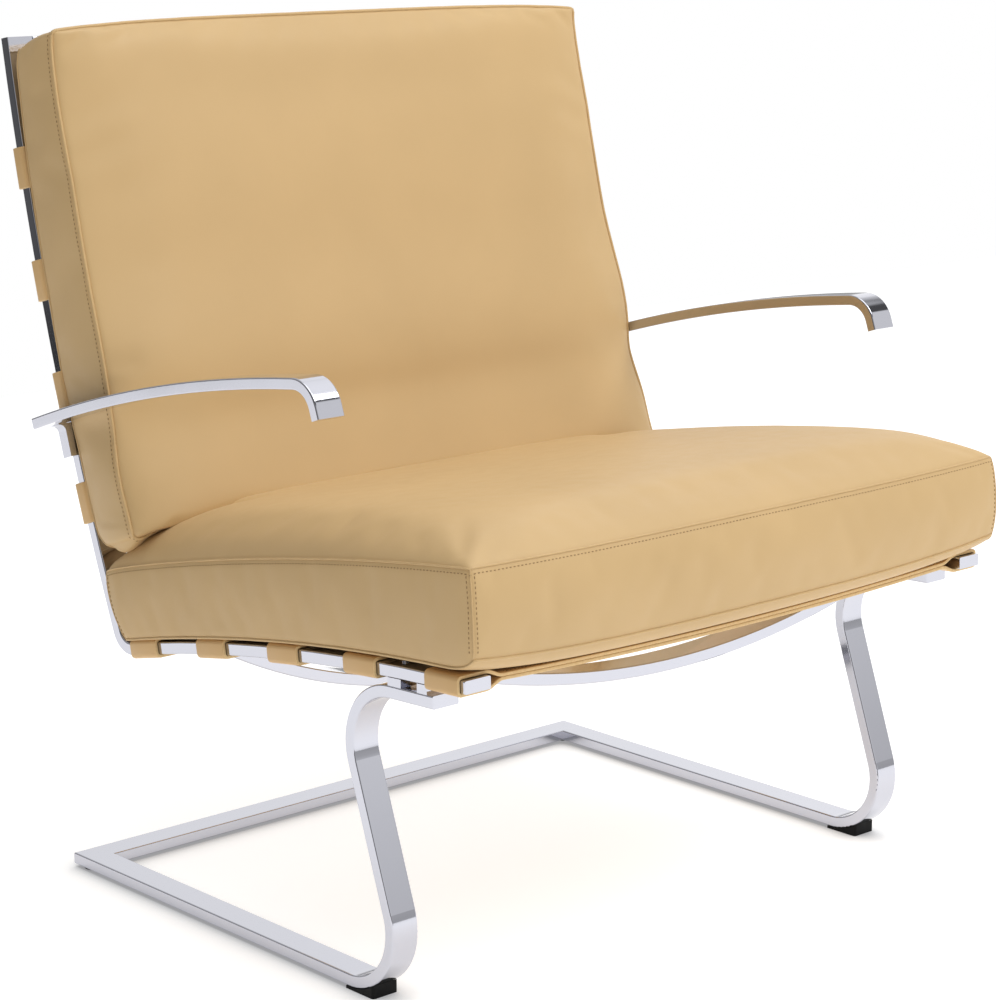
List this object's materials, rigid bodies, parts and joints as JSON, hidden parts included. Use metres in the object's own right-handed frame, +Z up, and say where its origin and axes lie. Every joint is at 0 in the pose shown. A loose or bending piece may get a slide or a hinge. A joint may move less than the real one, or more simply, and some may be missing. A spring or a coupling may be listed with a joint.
{
  "type": "cantilever lounge chair",
  "caption": "Low lounge chair with a flat-bar cantilever frame, curved flat armrests, leather straps and two boxed leather cushions.",
  "frame": {"origin": "On the floor, in the middle of the chair's box.", "axes": "+Z up, -Y towards the front where the sitter faces, +X to the sitter's left."},
  "size_m": [0.7728, 0.7128, 0.862],
  "materials": {
    "chrome": "polished chrome plate",
    "screw": "plated steel",
    "leather": "smooth tan leather",
    "strap": "thick tan saddle leather, cut edges",
    "foam": "upholstery foam",
    "rubber": "black rubber",
    "glide": "black plastic pad"
  },
  "bodies": {
    "root": {"arm_bracket_left": "chrome", "arm_bracket_right": "chrome", "arm_screws": "screw", "armrest_left": "chrome", "armrest_right": "chrome", "back_cover": "leather", "back_foam": "foam", "back_strap_1": "strap", "back_strap_2": "strap", "back_strap_3": "strap", "back_strap_4": "strap", "back_top_bar": "chrome", "frame_screws": "screw", "front_foot_left": "rubber", "front_foot_right": "rubber", "front_stretcher": "chrome", "leg_left": "chrome", "leg_right": "chrome", "rear_floor_bar": "chrome", "rear_glide_left": "glide", "rear_glide_right": "glide", "rear_stretcher": "chrome", "seat_cover": "leather", "seat_foam": "foam", "seat_strap_1": "strap", "seat_strap_2": "strap", "seat_strap_3": "strap", "seat_strap_4": "strap", "seat_strap_5": "strap", "side_rail_left": "chrome", "side_rail_right": "chrome", "spacer_front_left": "chrome", "spacer_front_right": "chrome", "spacer_rear_left": "chrome", "spacer_rear_right": "chrome"}
  },
  "joints": []
}
